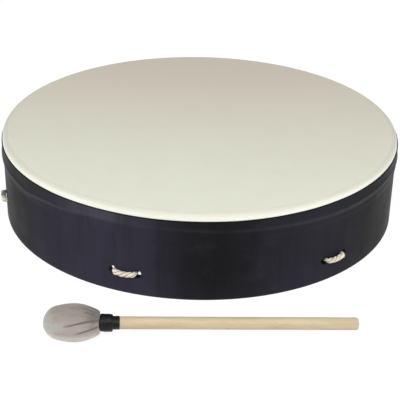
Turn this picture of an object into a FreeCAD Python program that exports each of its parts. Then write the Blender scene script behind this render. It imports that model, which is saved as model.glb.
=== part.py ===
# A 16 inch frame drum, played with a mallet and held from behind by a rope-laced grip ring.
# The drum lies on its open edge: its axis is Z, the floor is Z = 0, and the front is -Y.
# The mallet lies on the floor in front of it. Lengths are in millimetres, angles in degrees.
# Azimuths run round the drum from its front, towards +X.
import FreeCAD, Part
import math
import os

# Wall of the drum
drum_diameter = 406.4
drum_height = 88.9
shell_wall = 6.2
bearing_edge_radius = 5.2
bearing_edge_bevel = 0.5

# Film head, covering sheet and collar band
film_thickness = 0.8
skirt_depth = 26.9
sheet_butt_gap = 0.3
cover_trim = 0.8
collar_drop = 7.4
collar_lap = 3.2
collar_thickness = 1.0
collar_lower_lip = 0.35
collar_taper_height = 6.5
collar_edge_radius = 0.4
bead_drop = 11.5
bead_width = 5.0
bead_rise = 0.5

# Rope holes, in pairs: the three that face the front stand a little closer than the other three
hole_diameter = 9.5
hole_spacing = 24.0
hole_height = 21.9
pair_count = 6
front_pair_count = 3
middle_front_azimuth = -19.2
front_pair_step = 58.1

# Lacing rope and the ring that it is laced to
rope_diameter = 5.4
rope_gap = 0.2
rope_drop_in_hole = 0.4
hole_edge_bend = 1.2
ring_radius = 37.0
ring_rope_diameter = 9.0
ring_gap = 0.4

# Join of the rope's two ends, bound with twine
join_start_from_wall = 46.0
join_rise_length = 22.0
join_lap = 42.0
join_bend_radius = 24.0
join_gap = 0.3
join_end_gap = 2.0
twine_diameter = 1.6
twine_gap = 0.3
twine_pitch = 2.2
twine_turns = 12

# Mallet: lengths run from the tip of its head along the stick
mallet_length = 273.2
stick_diameter = 11.0
stick_end_round = 1.2
head_diameter = 33.3
widest_from_tip = 26.6
nose_radius = 15.0
tail_radius = 34.0
shoulder_from_tip = 48.6
shoulder_round = 1.6
suede_thickness = 0.9
core_diameter = 19.0
core_from_tip = 8.0
core_length = 30.0
core_round = 3.0
stick_in_core = 24.0
neck_length = 9.6
thread_diameter = 0.6
thread_gap = 0.05
thread_pitch = 1.1
thread_turns = 6
thread_start_from_shoulder = 1.5
tape_thickness = 0.3
tape_gap = 0.05
tape_round = 0.2
thick_tape_length = 10.8
thin_tape_length = 5.9
tip_x = -130.1
tip_y = -270.0
mallet_yaw = 5.4

# How finely the gaps between a winding's own turns are measured
gap_points_per_edge = 8

# Worked out from the sizes above
drum_radius = drum_diameter / 2
shell_radius = drum_radius - film_thickness
shell_inner_radius = shell_radius - shell_wall
shell_height = drum_height - film_thickness
skirt_bottom = drum_height - skirt_depth
rope_radius = rope_diameter / 2
rope_level = hole_height - rope_drop_in_hole
rope_bend_radius = rope_radius + hole_edge_bend
rope_outside_radius = drum_radius + rope_gap + rope_radius
stitch_half = hole_spacing / 2 - hole_diameter / 2 + rope_bend_radius
wrap_radius = ring_rope_diameter / 2 + ring_gap + rope_radius
stick_radius = stick_diameter / 2
head_radius = head_diameter / 2
neck_radius = stick_radius + suede_thickness
thread_radius = neck_radius + thread_gap + thread_diameter / 2
tape_inner_radius = thread_radius + thread_diameter / 2 + tape_gap

UP = FreeCAD.Vector(0, 0, 1)
ORIGIN = FreeCAD.Vector(0, 0, 0)
ALONG = FreeCAD.Vector(1, 0, 0)


# Plain geometry

def polar(radius, azimuth, height):
    turn = math.radians(azimuth)
    return FreeCAD.Vector(radius * math.sin(turn), -radius * math.cos(turn), height)


def unit(vector):
    return FreeCAD.Vector(vector).normalize()


def line(start, end):
    return Part.LineSegment(start, end).toShape()


def arc_through(start, middle, end):
    return Part.Arc(start, middle, end).toShape()


def arc_leaving(start, tangent, end):
    # The arc from start to end that leaves start along tangent.
    chord = end - start
    along = unit(chord)
    leaves = unit(tangent)
    angle = leaves.getAngle(chord)
    side = unit(leaves - along * leaves.dot(along))
    middle = (start + end) * 0.5 + side * (chord.Length / 2 * math.tan(angle / 2))
    return arc_through(start, middle, end)


def biarc(start, start_tangent, end, end_tangent):
    # Two arcs that meet smoothly and leave and arrive along the given directions.
    leaves = unit(start_tangent)
    arrives = unit(end_tangent)
    chord = end - start
    both = leaves + arrives
    a = 2 * (leaves.dot(arrives) - 1)
    b = -2 * chord.dot(both)
    c = chord.dot(chord)
    reach = (-b - math.sqrt(b * b - 4 * a * c)) / (2 * a)
    joint = (start + leaves * reach + end - arrives * reach) * 0.5
    turn = joint - start - leaves * reach
    first = arc_leaving(start, leaves, joint)
    second = arc_leaving(joint, turn, end)
    return [first, second]


def rounded_route(points, radius):
    # Straight runs through the points, with an arc of the radius tangent at each inner one.
    edges = []
    here = points[0]
    for before, corner, after in zip(points, points[1:], points[2:]):
        back = unit(before - corner)
        ahead = unit(after - corner)
        half_turn = (math.pi - back.getAngle(ahead)) / 2
        reach = radius * math.tan(half_turn)
        start = corner + back * reach
        end = corner + ahead * reach
        edges.append(line(here, start))
        edges.append(arc_leaving(start, corner - start, end))
        here = end
    edges.append(line(here, points[-1]))
    return edges


def sweep(edges, diameter, name):
    # A round cord along the edges. Its volume is printed against its section times its length.
    path = Part.Wire(edges)
    first = edges[0]
    start = first.valueAt(first.FirstParameter)
    tangent = first.tangentAt(first.FirstParameter)
    section = Part.Wire([Part.makeCircle(diameter / 2, start, tangent)])
    cord = Part.Solid(path.makePipeShell([section], True, False))
    expected = math.pi * diameter * diameter / 4 * path.Length
    print(name, "length", round(path.Length, 1), "volume share", round(cord.Volume / expected, 4))
    return cord


def revolve(edges, axis):
    face = Part.Face(Part.Wire(edges))
    return face.revolve(ORIGIN, axis, 360)


def in_section(points):
    # Places (radius, height) of a section through the drum's axis.
    return [FreeCAD.Vector(radius, 0, height) for radius, height in points]


def closed_outline(points):
    return [line(start, end) for start, end in zip(points, points[1:] + points[:1])]


def quarter(start, end, centre, radius):
    middle = centre + unit((start + end) * 0.5 - centre) * radius
    return arc_through(start, middle, end)


# The wall and what covers it

def stitch_azimuths():
    # The pairs stand at even steps across the front, and at even steps round the rest.
    rear_span = 360 - front_pair_step * (front_pair_count - 1)
    rear_step = rear_span / (pair_count - front_pair_count + 1)
    azimuths = [middle_front_azimuth - front_pair_step]
    for index in range(1, pair_count):
        step = front_pair_step if index < front_pair_count else rear_step
        azimuths.append(azimuths[-1] + step)
    return azimuths


def rope_holes():
    half_angle = math.degrees(hole_spacing / 2 / drum_radius)
    drill_start = shell_inner_radius - shell_wall
    drill_length = drum_radius + shell_wall - drill_start
    holes = []
    for azimuth in stitch_azimuths():
        for side in (-1, 1):
            where = azimuth + side * half_angle
            start = polar(drill_start, where, hole_height)
            outward = polar(1, where, 0)
            holes.append(Part.makeCylinder(hole_diameter / 2, drill_length, start, outward))
    return holes


def make_shell():
    # A straight wall with a rounded bearing edge for the head and a bevel inside it.
    round_centre, round_start, round_end = in_section([
        (shell_radius - bearing_edge_radius, shell_height - bearing_edge_radius),
        (shell_radius, shell_height - bearing_edge_radius),
        (shell_radius - bearing_edge_radius, shell_height),
    ])
    crest, bevel_foot, inner_foot, outer_foot = in_section([
        (shell_inner_radius + bearing_edge_bevel, shell_height),
        (shell_inner_radius, shell_height - bearing_edge_bevel),
        (shell_inner_radius, 0),
        (shell_radius, 0),
    ])
    outline = [
        line(outer_foot, round_start),
        quarter(round_start, round_end, round_centre, bearing_edge_radius),
        line(round_end, crest),
        line(crest, bevel_foot),
        line(bevel_foot, inner_foot),
        line(inner_foot, outer_foot),
    ]
    return revolve(outline, UP).cut(rope_holes())


def make_shell_cover():
    # The sheet is trimmed short of the open edge, so that it doesn't peel on the floor.
    sheet = closed_outline(in_section([
        (shell_radius, cover_trim),
        (drum_radius, cover_trim),
        (drum_radius, skirt_bottom - sheet_butt_gap),
        (shell_radius, skirt_bottom - sheet_butt_gap),
    ]))
    return revolve(sheet, UP).cut(rope_holes())


def make_drumhead():
    # The film lies flat, rolls over the bearing edge and runs down the wall as a skirt.
    outer_roll = bearing_edge_radius + film_thickness
    roll_radius = shell_radius - bearing_edge_radius
    roll_height = shell_height - bearing_edge_radius
    centre, top, side, under, inner_side = in_section([
        (roll_radius, roll_height),
        (roll_radius, drum_height),
        (drum_radius, roll_height),
        (roll_radius, shell_height),
        (shell_radius, roll_height),
    ])
    top_middle, skirt_outer, skirt_inner, under_middle = in_section([
        (0, drum_height),
        (drum_radius, skirt_bottom),
        (shell_radius, skirt_bottom),
        (0, shell_height),
    ])
    outline = [
        line(top_middle, top),
        quarter(top, side, centre, outer_roll),
        line(side, skirt_outer),
        line(skirt_outer, skirt_inner),
        line(skirt_inner, inner_side),
        quarter(inner_side, under, centre, bearing_edge_radius),
        line(under, under_middle),
        line(under_middle, top_middle),
    ]
    return revolve(outline, UP)


def make_collar_band():
    # A band over the skirt, thin at its lower edge and with a bead rolled into it.
    band_top = drum_height - collar_drop
    band_bottom = skirt_bottom - collar_lap
    outer = drum_radius + collar_thickness
    bead_middle = band_top - bead_drop
    inner_foot, lip, taper_end, bead_low, bead_out, bead_high = in_section([
        (drum_radius, band_bottom),
        (drum_radius + collar_lower_lip, band_bottom),
        (outer, band_bottom + collar_taper_height),
        (outer, bead_middle - bead_width / 2),
        (outer + bead_rise, bead_middle),
        (outer, bead_middle + bead_width / 2),
    ])
    round_centre, round_start, round_end, inner_top = in_section([
        (outer - collar_edge_radius, band_top - collar_edge_radius),
        (outer, band_top - collar_edge_radius),
        (outer - collar_edge_radius, band_top),
        (drum_radius, band_top),
    ])
    outline = [
        line(inner_foot, lip),
        line(lip, taper_end),
        line(taper_end, bead_low),
        arc_through(bead_low, bead_out, bead_high),
        line(bead_high, round_start),
        quarter(round_start, round_end, round_centre, collar_edge_radius),
        line(round_end, inner_top),
        line(inner_top, inner_foot),
    ]
    return revolve(outline, UP)


# The lacing

def rope_corner(azimuth, side):
    # Where the outside stitch would meet the strand inside, if the rope turned sharply.
    angle = math.degrees(math.atan2(stitch_half, rope_outside_radius))
    return polar(math.hypot(rope_outside_radius, stitch_half), azimuth + side * angle, rope_level)


def ring_wrap(left_azimuth, right_azimuth):
    # The way of one pass round the ring: in over it, down its inner side and out under it.
    # Each strand is a straight line tangent to the wrap, so the rope lies as if pulled tight.
    middle = (left_azimuth + right_azimuth) / 2
    outward = polar(1, middle, 0)
    across = polar(1, middle + 90, 0)
    core = outward * ring_radius + UP * rope_level
    corner = rope_corner(right_azimuth, -1)
    reach = corner.dot(outward) - ring_radius
    aside = corner.dot(across)
    lean = math.asin(wrap_radius / reach)
    wrapped = wrap_radius * (math.pi / 2 + lean)
    advance = aside / (math.sqrt(reach * reach - wrap_radius * wrap_radius) + wrapped)
    places = []
    for angle, shift in ((math.pi / 2 - lean, -1), (math.pi, 0), (3 * math.pi / 2 + lean, 1)):
        radial = outward * math.cos(angle) + UP * math.sin(angle)
        round_about = UP * math.cos(angle) - outward * math.sin(angle)
        place = core + radial * wrap_radius + across * (shift * wrapped * advance)
        places.append((place, round_about + across * advance))
    return places


def pass_route(left_azimuth, right_azimuth, end_point):
    # From the middle of one outside stitch, in by its hole, round the ring and to end_point,
    # which is the middle of the next stitch, or None for the end of the rope at the join.
    start, over, under = ring_wrap(left_azimuth, right_azimuth)
    first_corner = rope_corner(left_azimuth, 1)
    stitch_middle = polar(rope_outside_radius, left_azimuth, rope_level)
    edges = rounded_route([stitch_middle, first_corner, start[0]], rope_bend_radius)
    edges += biarc(*start, *over)
    edges += biarc(*over, *under)
    if end_point is None:
        edges.append(line(under[0], join_places(left_azimuth, right_azimuth)["first_end"]))
    else:
        last_corner = rope_corner(right_azimuth, -1)
        edges += rounded_route([under[0], last_corner, end_point], rope_bend_radius)
    return edges


def make_lacing_pass(left_azimuth, right_azimuth, name):
    end_point = polar(rope_outside_radius, right_azimuth, rope_level)
    return sweep(pass_route(left_azimuth, right_azimuth, end_point), rope_diameter, name)


def make_joined_pass(left_azimuth, right_azimuth, name):
    return sweep(pass_route(left_azimuth, right_azimuth, None), rope_diameter, name)


def join_places(left_azimuth, right_azimuth):
    # The last strand runs from the ring to its hole. Near the wall the rope's other end comes
    # down this line, rises by one rope and lies on top of the first end as far as the lap.
    corner = rope_corner(right_azimuth, -1)
    under = ring_wrap(left_azimuth, right_azimuth)[2][0]
    inward = unit(under - corner)
    across = unit(inward.cross(UP))
    rise = unit(across.cross(inward))
    stack = rope_diameter + join_gap
    rise_start = corner + inward * join_start_from_wall
    lap_start = rise_start + inward * join_rise_length + rise * stack
    return {
        "corner": corner,
        "inward": inward,
        "rise": rise,
        "stack": stack,
        "rise_start": rise_start,
        "lap_start": lap_start,
        "first_end": rise_start + inward * (join_rise_length + join_end_gap),
        "second_end": lap_start + inward * join_lap,
    }


def make_lacing_tail(left_azimuth, right_azimuth):
    places = join_places(left_azimuth, right_azimuth)
    stitch_middle = polar(rope_outside_radius, right_azimuth, rope_level)
    wall_end = places["corner"] + places["inward"] * (join_start_from_wall / 2)
    at_wall = rounded_route([stitch_middle, places["corner"], wall_end], rope_bend_radius)
    at_join = rounded_route(
        [wall_end, places["rise_start"], places["lap_start"], places["second_end"]],
        join_bend_radius,
    )
    return sweep(at_wall + at_join, rope_diameter, "lacing_tail")


def make_lacing_seizing(left_azimuth, right_azimuth):
    # Twine wound round both ends. Each half turn is a flat arc tilted by half a pitch, and the
    # runs between the arcs stand square to the rope, so the whole winding is one smooth tube.
    places = join_places(left_azimuth, right_azimuth)
    along = places["inward"]
    rise = places["rise"]
    across = along.cross(rise)
    lap_middle = (places["lap_start"] + places["second_end"]) * 0.5
    lower = lap_middle - rise * places["stack"] - along * (twine_pitch * twine_turns / 2)
    out = rope_radius + twine_gap + twine_diameter / 2
    edges = []
    here = lower + across * out
    for half_turn in range(2 * twine_turns):
        going_up = half_turn % 2 == 0
        heading = rise if going_up else -rise
        side = -across if going_up else across
        run_end = here + heading * places["stack"]
        arc_end = run_end + side * (2 * out) + along * (twine_pitch / 2)
        edges.append(line(here, run_end))
        edges.append(half_circle(run_end, heading, arc_end))
        here = arc_end
    print_winding_gap("lacing_seizing", edges, twine_diameter)
    return sweep(edges, twine_diameter, "lacing_seizing")


def half_circle(start, heading, end):
    middle = (start + end) * 0.5 + unit(heading) * ((end - start).Length / 2)
    return arc_through(start, middle, end)


def print_winding_gap(name, edges, diameter):
    # The least gap between turns, measured on points more than half a turn of the cord apart.
    # Each turn is made of four edges.
    points = []
    for edge in edges:
        points += edge.discretize(Number=gap_points_per_edge + 1)[:-1]
    apart = 2 * gap_points_per_edge + gap_points_per_edge // 2
    least = min(
        (first - second).Length
        for index, first in enumerate(points)
        for second in points[index + apart:]
    )
    print(name, "least gap to itself", round(least - diameter, 3))


def make_grip_ring():
    return Part.makeTorus(
        ring_radius, ring_rope_diameter / 2, FreeCAD.Vector(0, 0, rope_level), UP
    )


# The mallet, first along +X from the tip of its head

def head_outline(inset):
    # The egg of the head, drawn in by inset: nose, side and tail arcs and a rounded shoulder.
    # The side arc touches the nose arc and is level at the widest place, as the tail arc is.
    reach = widest_from_tip - nose_radius
    rise = head_radius - nose_radius
    side_radius = nose_radius + (reach * reach + rise * rise) / (2 * rise)
    side_centre = FreeCAD.Vector(widest_from_tip, 0, head_radius - side_radius)
    nose_centre = FreeCAD.Vector(nose_radius, 0, 0)
    tail_centre = FreeCAD.Vector(widest_from_tip, 0, head_radius - tail_radius)
    round_x = shoulder_from_tip - shoulder_round
    round_reach = tail_radius - shoulder_round
    round_fall = math.sqrt(round_reach * round_reach - (round_x - widest_from_tip) ** 2)
    round_centre = FreeCAD.Vector(round_x, 0, tail_centre.z + round_fall)
    tip = FreeCAD.Vector(inset, 0, 0)
    nose_end = side_centre + unit(nose_centre - side_centre) * (side_radius - inset)
    widest = FreeCAD.Vector(widest_from_tip, 0, head_radius - inset)
    tail_end = tail_centre + unit(round_centre - tail_centre) * (tail_radius - inset)
    shoulder = FreeCAD.Vector(shoulder_from_tip - inset, 0, round_centre.z)
    return [
        quarter(tip, nose_end, nose_centre, nose_radius - inset),
        quarter(nose_end, widest, side_centre, side_radius - inset),
        quarter(widest, tail_end, tail_centre, tail_radius - inset),
        quarter(tail_end, shoulder, round_centre, shoulder_round - inset),
    ]


def head_solid(inset, after_shoulder):
    # The egg, closed from its shoulder through the places (distance from the tip, radius).
    edges = head_outline(inset)
    tip = edges[0].firstVertex().Point
    places = [edges[-1].lastVertex().Point] + in_stick_section(after_shoulder) + [tip]
    edges += [line(start, end) for start, end in zip(places, places[1:])]
    return revolve(edges, ALONG)


def cylinder_x(radius, start, end):
    return Part.makeCylinder(radius, end - start, ALONG * start, ALONG)


def rim_edges_at(shape, x, radius):
    # The round edges of the given radius that lie square to the stick at x.
    return [
        edge for edge in shape.Edges
        if isinstance(edge.Curve, Part.Circle)
        and abs(edge.Curve.Center.x - x) < tape_gap
        and abs(edge.Curve.Radius - radius) < tape_gap
    ]


def make_mallet_stick():
    start = core_from_tip + core_length - stick_in_core
    stick = cylinder_x(stick_radius, start, mallet_length)
    return stick.makeFillet(stick_end_round, rim_edges_at(stick, mallet_length, stick_radius))


def make_mallet_core():
    core_end = core_from_tip + core_length
    core = cylinder_x(core_diameter / 2, core_from_tip, core_end)
    rims = rim_edges_at(core, core_from_tip, core_diameter / 2)
    rims += rim_edges_at(core, core_end, core_diameter / 2)
    core = core.makeFillet(core_round, rims)
    return core.cut(cylinder_x(stick_radius, core_end - stick_in_core, core_end + core_round))


def make_mallet_padding():
    filling = head_solid(suede_thickness, [(shoulder_from_tip - suede_thickness, 0)])
    core = cylinder_x(core_diameter / 2, core_from_tip, core_from_tip + core_length)
    return filling.cut([core, cylinder_x(stick_radius, core_from_tip, shoulder_from_tip)])


def make_mallet_cover():
    neck_end = shoulder_from_tip + neck_length
    outside = head_solid(0, [
        (shoulder_from_tip, neck_radius),
        (neck_end, neck_radius),
        (neck_end, 0),
    ])
    bore_start = shoulder_from_tip - suede_thickness
    bore_end = neck_end + neck_length
    inside = head_solid(suede_thickness, [
        (bore_start, stick_radius),
        (bore_end, stick_radius),
        (bore_end, 0),
    ])
    return outside.cut(inside)


def make_cover_binding():
    # The thread's helix round the neck, as a pair of arcs for each half turn.
    start_x = shoulder_from_tip + thread_start_from_shoulder
    advance = thread_pitch / (2 * math.pi)
    stations = []
    for half_turn in range(2 * thread_turns + 1):
        angle = math.pi * half_turn
        place = FreeCAD.Vector(
            start_x + advance * angle,
            thread_radius * math.sin(angle),
            thread_radius * math.cos(angle),
        )
        heading = FreeCAD.Vector(
            advance, thread_radius * math.cos(angle), -thread_radius * math.sin(angle)
        )
        stations.append((place, heading))
    edges = []
    for first, second in zip(stations, stations[1:]):
        edges += biarc(*first, *second)
    print_winding_gap("cover_binding", edges, thread_diameter)
    return sweep(edges, thread_diameter, "cover_binding")


def make_neck_tape():
    # Thick over the gathered neck, then a short thin stretch on the stick.
    start = shoulder_from_tip
    step = start + thick_tape_length
    end = step + thin_tape_length
    thick = tape_inner_radius + tape_thickness
    thin = stick_radius + tape_thickness
    outline = closed_outline(in_stick_section([
        (start, tape_inner_radius),
        (start, thick),
        (step, thick),
        (step, thin),
        (end, thin),
        (end, stick_radius),
        (step - tape_thickness, stick_radius),
        (step - tape_thickness, tape_inner_radius),
    ]))
    tape = revolve(outline, ALONG)
    rims = rim_edges_at(tape, start, thick) + rim_edges_at(tape, step, thick)
    rims += rim_edges_at(tape, end, thin)
    return tape.makeFillet(tape_round, rims)


def in_stick_section(points):
    return [FreeCAD.Vector(along, 0, radius) for along, radius in points]


def mallet_placement():
    # The mallet touches the floor with the tail arc of its head and with the end of its stick.
    touch_x = mallet_length - stick_end_round
    head_x = widest_from_tip
    tilt = 0.0
    for _ in range(6):
        fall = (head_radius - stick_radius) * math.cos(tilt) + tail_radius * (1 - math.cos(tilt))
        tilt = math.asin(fall / (touch_x - head_x))
    tip_height = touch_x * math.sin(tilt) + stick_radius * math.cos(tilt)
    yaw = FreeCAD.Rotation(UP, mallet_yaw)
    down = FreeCAD.Rotation(FreeCAD.Vector(0, 1, 0), math.degrees(tilt))
    print("mallet tilt", round(math.degrees(tilt), 3), "tip height", round(tip_height, 3))
    return FreeCAD.Placement(FreeCAD.Vector(tip_x, tip_y, tip_height), yaw * down)


# All nodes

def make_nodes():
    azimuths = stitch_azimuths()
    azimuths.append(azimuths[0] + 360)
    nodes = {
        "shell": make_shell(),
        "shell_cover": make_shell_cover(),
        "drumhead": make_drumhead(),
        "collar_band": make_collar_band(),
        "grip_ring": make_grip_ring(),
    }
    spans = list(zip(azimuths, azimuths[1:]))
    join_index = pair_count - 2
    for index, (left, right) in enumerate(spans):
        name = "lacing_" + str(index + 1)
        make = make_joined_pass if index == join_index else make_lacing_pass
        nodes[name] = make(left, right, name)
    nodes["lacing_tail"] = make_lacing_tail(*spans[join_index])
    nodes["lacing_seizing"] = make_lacing_seizing(*spans[join_index])
    laid_down = mallet_placement()
    for name, make in (
        ("mallet_stick", make_mallet_stick),
        ("mallet_core", make_mallet_core),
        ("mallet_padding", make_mallet_padding),
        ("mallet_cover", make_mallet_cover),
        ("cover_binding", make_cover_binding),
        ("neck_tape", make_neck_tape),
    ):
        nodes[name] = make()
        nodes[name].Placement = laid_down.multiply(nodes[name].Placement)
    return nodes


def main():
    os.makedirs("parts", exist_ok=True)
    for name, shape in make_nodes().items():
        if not shape.isValid():
            raise ValueError(name + " is not a valid solid")
        shape.exportStep("parts/" + name + ".step")
        print(name, "solids", len(shape.Solids), "volume", round(shape.Volume, 1))


main()
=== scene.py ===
"""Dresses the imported 16 inch frame drum and its mallet, and lays out the studio round them.

Lengths are in metres. The drum's axis is Z, it lies on its open edge at Z = 0, and its front
is -Y. Azimuths run round the drum from its front, towards +X.
"""
import math

import bmesh
import bpy
import numpy as np
from bpy.props import FloatProperty, FloatVectorProperty, IntProperty, PointerProperty
from mathutils import Matrix, Vector


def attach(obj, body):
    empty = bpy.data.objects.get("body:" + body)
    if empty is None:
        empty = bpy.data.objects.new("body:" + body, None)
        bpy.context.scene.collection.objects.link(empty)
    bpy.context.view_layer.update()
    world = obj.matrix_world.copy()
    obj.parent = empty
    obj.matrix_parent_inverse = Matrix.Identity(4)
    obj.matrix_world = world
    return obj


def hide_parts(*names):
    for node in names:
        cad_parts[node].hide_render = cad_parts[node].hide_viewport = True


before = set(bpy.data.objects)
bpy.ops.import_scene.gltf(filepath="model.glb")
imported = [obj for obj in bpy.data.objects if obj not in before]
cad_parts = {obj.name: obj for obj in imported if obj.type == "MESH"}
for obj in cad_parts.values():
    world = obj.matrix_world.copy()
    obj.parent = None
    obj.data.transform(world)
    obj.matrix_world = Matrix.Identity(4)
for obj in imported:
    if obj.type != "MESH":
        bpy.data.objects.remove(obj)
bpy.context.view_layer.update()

bl_info = {
    "name": "Frame drum",
    "version": (1, 0, 0),
    "blender": (4, 5, 0),
    "location": "3D View > Sidebar > Drum",
    "description": "Dresses a packed frame drum and its mallet",
    "category": "Object",
}

UP = Vector((0, 0, 1))
MM = 0.001
HAIR = 0.00003  # room left between pieces that lie on each other
GLUE = 0.00002  # the same under a sheet or band that is glued on
FACET = 35  # degrees from which an edge stays sharp on a hard piece
SOFT_FACET = 60  # the same on a soft or wrapped piece


# Sizes and colours that a user may change

def length(name, description, default):
    return FloatProperty(name=name, description=description, default=default, unit="LENGTH")


def angle(name, description, degrees):
    return FloatProperty(
        name=name, description=description, default=math.radians(degrees), unit="ROTATION"
    )


def linear(value):
    share = value / 255
    return share / 12.92 if share <= 0.04045 else ((share + 0.055) / 1.055) ** 2.4


def colour(name, description, red, green, blue):
    # The default is given as it looks on a screen, from 0 to 255, and kept as linear light.
    return FloatVectorProperty(
        name=name,
        description=description,
        default=(linear(red), linear(green), linear(blue)),
        subtype="COLOR",
        size=3,
        min=0,
        max=1,
    )


class DrumSizes(bpy.types.PropertyGroup):
    radius: length("Drum radius", "Outside of the wall with its covering", 0.2032)
    height: length("Drum height", "From the open edge to the top of the head", 0.0889)
    wall: length("Wall", "Thickness of the wall", 0.0062)
    film: length("Film", "Thickness of the head's film and of the covering sheet", 0.0008)
    edge_radius: length("Bearing edge", "Rounding of the wall under the head", 0.0052)
    skirt_bottom: length("Skirt", "Height at which the film's skirt ends", 0.062)
    cover_trim: length("Trim", "How far the covering stops short of the open edge", 0.0002)
    collar_bottom: length("Collar bottom", "Height of the collar band's lower edge", 0.0588)
    collar_thickness: length("Collar", "Thickness of the collar band", 0.001)
    bead_width: length("Bead width", "Width of the soft bead round the collar band", 0.0052)
    bead_rise: length("Bead rise", "How far the bead stands out of the band", 0.0007)
    hole_radius: length("Hole radius", "Radius of a rope hole", 0.004)
    hole_spacing: length("Hole spacing", "Between the two holes of a pair", 0.024)
    hole_height: length("Hole height", "Height of the rope holes", 0.0219)
    middle_azimuth: angle("Middle pair", "Azimuth of the pair nearest the front", -19.0)
    front_step: angle("Front step", "Between the three pairs that face the front", 58.1)


class RopeSizes(bpy.types.PropertyGroup):
    diameter: length("Rope", "Diameter of the lacing rope", 0.0054)
    lay: length("Lay", "Length of one turn of a strand", 0.0175)
    level: length("Level", "Height of the rope inside the drum", 0.0215)
    hole_rise: length("Hole rise", "How far above that the rope passes through its holes", 0.0008)
    hang: length("Hang", "How far a stitch hangs down between its holes", 0.0013)
    wall_gap: length("Wall gap", "Between the rope and the covering", 0.0002)
    corner_bend: length("Corner bend", "Radius of the rope's bend into a hole", 0.002)
    corner_reach: length("Corner reach", "Length of rope that each bend takes up", 0.0066)
    squeeze: FloatProperty(
        name="Squeeze", description="Share of its thickness that the rope keeps in a hole",
        default=0.72,
    )
    ring_radius: length("Ring", "Radius of the grip ring's middle line", 0.037)
    ring_diameter: length("Ring rope", "Diameter of the grip ring's rope", 0.009)
    ring_gap: length("Ring gap", "Between the lacing and the ring", 0.0004)
    join_start: length("Join start", "From the wall to where the upper end rises", 0.046)
    join_rise: length("Join rise", "Length over which the upper end rises", 0.022)
    join_lap: length("Join lap", "Length of the two ends side by side", 0.042)
    join_gap: length("Join gap", "Between the two ends", 0.0003)
    join_end: length("Join end", "How far the lower end stops short of the rise", 0.002)
    join_reach: length("Join reach", "Length of rope that a bend at the join takes up", 0.006)
    twine: length("Twine", "Diameter of the twine round the join", 0.0016)
    twine_gap: length("Twine gap", "Between the twine and the rope", 0.0003)
    twine_pitch: length("Twine pitch", "Between the turns of twine", 0.0022)
    twine_turns: IntProperty(name="Twine turns", description="Turns of twine", default=12)


class MalletSizes(bpy.types.PropertyGroup):
    length: length("Mallet", "From the head's tip to the end of the stick", 0.2732)
    stick_radius: length("Stick", "Radius of the stick", 0.0055)
    stick_round: length("Stick end", "Rounding of the stick's end", 0.002)
    stick_start: length("Stick start", "From the tip to the stick's end in the core", 0.014)
    head_radius: length("Head", "Radius of the head where it is widest", 0.01665)
    widest: length("Widest", "From the tip to the widest place", 0.0266)
    nose_radius: length("Nose", "Radius of the head's nose", 0.015)
    tail_radius: length("Tail", "Radius of the head's sides towards the neck", 0.034)
    shoulder: length("Shoulder", "From the tip to the shoulder", 0.0471)
    shoulder_round: length("Shoulder round", "Rounding of the shoulder", 0.0027)
    sag: length("Sag", "How far the suede bulges back round the tape, above and below", 0.0013)
    sag_start: length("Sag start", "From the tip to where the suede begins to sag", 0.04)
    suede: length("Suede", "Thickness of the suede", 0.0009)
    neck: length("Neck", "Length of suede along the stick", 0.0111)
    thread: length("Thread", "Diameter of the binding thread", 0.0006)
    thread_radius: length("Thread turn", "Radius of a turn of the thread", 0.00675)
    thread_pitch: length("Thread pitch", "Between the turns of thread", 0.0011)
    thread_start: length("Thread start", "From the tip to the first turn", 0.0501)
    thread_turns: IntProperty(name="Thread turns", description="Turns of thread", default=6)
    tape: length("Tape", "Thickness of the tape", 0.0003)
    tape_radius: length("Tape radius", "Inner radius of the tape over the neck", 0.0071)
    tape_start: length("Tape start", "From the tip to the tape's edge at the shoulder", 0.0472)
    tape_step: length("Tape step", "From the tip to where the tape steps down", 0.0591)
    tape_end: length("Tape end", "From the tip to the end of the tape", 0.0649)
    tip: FloatVectorProperty(
        name="Tip",
        description="Where the middle of the head's tip lies",
        default=(-0.1301, -0.27, 0.017879),
        subtype="TRANSLATION",
    )
    yaw: angle("Yaw", "Turn of the mallet on the floor", 5.4)
    tilt: angle("Tilt", "Fall of the stick towards its end", 2.61)


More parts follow.
